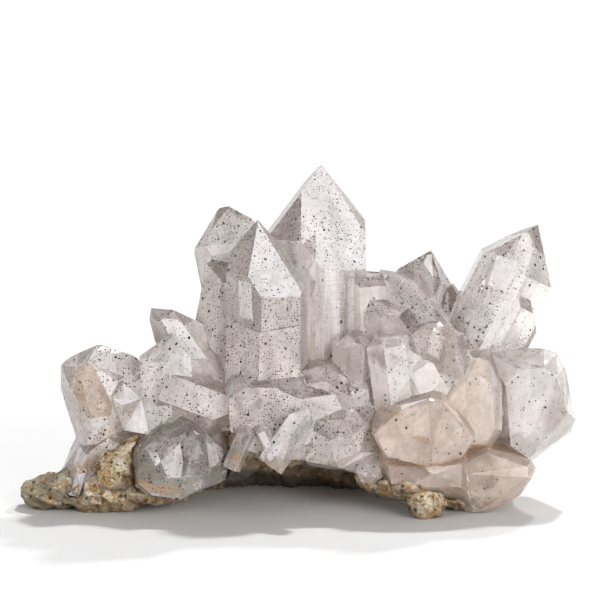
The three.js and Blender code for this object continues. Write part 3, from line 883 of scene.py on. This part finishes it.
def rock_material():
    material, nodes = new_material("rock, ochre and grey-green")
    # Painted shade: the colour is a little darker where the relief sinks deeper.
    hollow = nodes.painted("hollow")
    broad = nodes.noise(10 * MM, 3, 0.6)
    medium = nodes.noise(2.4 * MM, 5, 0.7)
    fine = nodes.noise(0.6 * MM, 4, 0.7)
    base = nodes.add("ValToRGB", {"stops": [
        (0.32, (0.04, 0.026, 0.014)),
        (0.42, (0.22, 0.14, 0.065)),
        (0.50, (0.48, 0.34, 0.18)),
        (0.57, (0.64, 0.51, 0.34)),
        (0.66, (0.86, 0.79, 0.68)),
    ]}, {"Fac": medium * 0.75 + fine * 0.5 - hollow * 0.10 - 0.045}).outputs[0]
    place = nodes.add("SeparateXYZ", {}, {"Vector": nodes.place()})
    far_left = nodes.rise(nodes.number(place, 0) * -1.0 + broad * 30 * MM, 66 * MM, 78 * MM)
    green = (nodes.rise(broad + medium * 0.4, 0.66, 0.80) * 0.3).larger(far_left * 0.65)
    base = nodes.blend(green, base, (0.22, 0.215, 0.16))
    rust = nodes.rise(nodes.noise(3.5 * MM, 4, 0.65), 0.52, 0.64) * 0.75
    base = nodes.blend(rust, base, (0.50, 0.25, 0.08))
    distance, colour = nodes.cells(1.2 * MM)
    chance, shade, _ = nodes.grey(colour)
    grains = (chance < 0.3) * (1 - nodes.rise(distance, 0.25 * MM, 0.5 * MM))
    base = nodes.blend(grains * 0.75, base, (0.74, 0.70, 0.64))
    # Pits: small holes, bumped in and painted near black with the shade inside them.
    away, colour = nodes.cells(1.7 * MM)
    chance = nodes.grey(colour)[0]
    pits = (chance < 0.35) * (1 - nodes.rise(away + (fine - 0.5) * 1.2 * MM, 0.3 * MM, 0.6 * MM))
    base = nodes.blend(pits * 0.85, base, (0.03, 0.02, 0.01))
    # Painted shade: the rock is darker brown where it faces down.
    under = nodes.painted("under") * nodes.rise(medium, 0.35, 0.6)
    base = nodes.blend(under * 0.75, base, (0.09, 0.055, 0.028))
    # Painted shade in the hollow under the front's lower edge.
    deep = nodes.painted("deep") * (0.6 + fine * 0.5)
    base = nodes.blend(deep.clipped(), base, (0.075, 0.065, 0.058))
    normal = nodes.bump(medium + fine * 0.6 - pits + grains * 0.4, 0.5 * MM, 0.8)
    rock = nodes.add("BsdfPrincipled", {}, {
        "Base Color": base,
        "Roughness": 0.7 + shade * 0.25 - grains * 0.3,
        "Normal": normal,
    })
    nodes.finish(rock.outputs[0])
    return material


# Floor, light and camera

# The floor is paper near the cluster and glows white from further out.
PAPER_TO = 115 * MM
GLOW_FROM = 270 * MM


def floor():
    bpy.ops.mesh.primitive_circle_add(vertices=96, radius=3.0, fill_type="NGON", location=(0, 0, 0))
    disc = bpy.context.object
    disc.name = "floor"
    material, nodes = new_material("floor, white")
    place = nodes.add("SeparateXYZ", {}, {"Vector": nodes.place()})
    x, y = nodes.number(place, 0), nodes.number(place, 1)
    away = (x * x + y * y) ** 0.5
    far = nodes.rise(away, PAPER_TO, GLOW_FROM)
    paper = nodes.add("BsdfPrincipled", {}, {
        "Base Color": (0.8, 0.8, 0.8, 1), "Roughness": 0.6, "Specular IOR Level": 0.1,
    })
    glow = nodes.add("Emission", {}, {"Color": (1, 1, 1, 1), "Strength": 1.05})
    mixed = nodes.add("MixShader", {}, {0: far, 1: paper.outputs[0], 2: glow.outputs[0]})
    nodes.finish(mixed.outputs[0])
    disc.data.materials.append(material)


def panel(name, place, aim, size, power, colour=(1, 1, 1)):
    """A soft light that faces the point aim. It is square unless its shape is set afterwards."""
    light = bpy.data.lights.new(name, "AREA")
    light.shape = "SQUARE"
    light.size = size
    light.energy = power
    light.color = colour
    lamp = bpy.data.objects.new(name, light)
    bpy.context.scene.collection.objects.link(lamp)
    lamp.location = place
    lamp.rotation_euler = (Vector(aim) - Vector(place)).to_track_quat("-Z", "Y").to_euler()
    return lamp


def world():
    sky = bpy.data.worlds.new("studio")
    bpy.context.scene.world = sky
    sky.use_nodes = True
    nodes = Nodes(sky.node_tree)
    direction = nodes.add("SeparateXYZ", {}, {"Vector": nodes.add("TexCoord").outputs["Generated"]})
    back, height = nodes.number(direction, 1), nodes.number(direction, 2)
    white = nodes.rise(back, 0.1, 0.75)
    around = nodes.blend(white, (0.22, 0.215, 0.21), (0.88, 0.87, 0.87))
    high = nodes.rise(height, 0.35, 0.7)
    around = nodes.blend(high, around, (0.24, 0.24, 0.245))
    path = nodes.add("LightPath")
    around = nodes.blend(nodes.number(path, "Is Transmission Ray"), around, (0.82, 0.81, 0.80))
    seen = nodes.number(path, "Is Camera Ray")
    shade = nodes.blend(seen, around, (1.1, 1.1, 1.1))
    ground = nodes.add("Background", {}, {"Color": shade, "Strength": 1.0})
    nodes.feed(nodes.add("OutputWorld").inputs["Surface"], ground.outputs[0])


def lights():
    world()
    middle = (0, 0, 0.04)
    behind = panel("from behind", (0.60, 0.86, 0.98), middle, 0.07, 7.5)
    above = panel("from above", (0.28, 0.58, 1.27), middle, 0.10, 13)
    key = panel("front right", (0.74, -1.20, 0.36), middle, 0.6, 10, (1.0, 0.985, 0.985))
    fill = panel("front left", (-0.95, -0.95, 0.40), middle, 0.5, 5.5)
    sheen = panel("sheen", (0.74, -1.20, 0.42), middle, 1.3, 6.0)
    sheen.data.shape = "RECTANGLE"
    sheen.data.size_y = 0.6
    for lamp in (behind, above, key, fill):
        lamp.visible_glossy = False


def camera():
    data = bpy.data.cameras.new("camera")
    data.sensor_width = SENSOR
    data.lens = SENSOR * DISTANCE / (PHOTO_SIDE * PIXEL)
    data.clip_start = 0.05
    view = bpy.data.objects.new("camera", data)
    bpy.context.scene.collection.objects.link(view)
    view.location = camera_place()
    view.rotation_euler = (math.pi / 2 - LOOKING_DOWN, 0, 0)
    bpy.context.scene.camera = view


def main():
    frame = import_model()
    bpy.context.scene.view_settings.view_transform = "Standard"
    camera()
    lights()
    floor()
    for build, node, slot in (
        (quartz_piece, "quartz_crystals", "quartz"),
        (rock_piece, "matrix_rock", "rock"),
    ):
        piece = build(frame["nodes"][node])
        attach(piece, "root")
        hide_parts(node)


main()
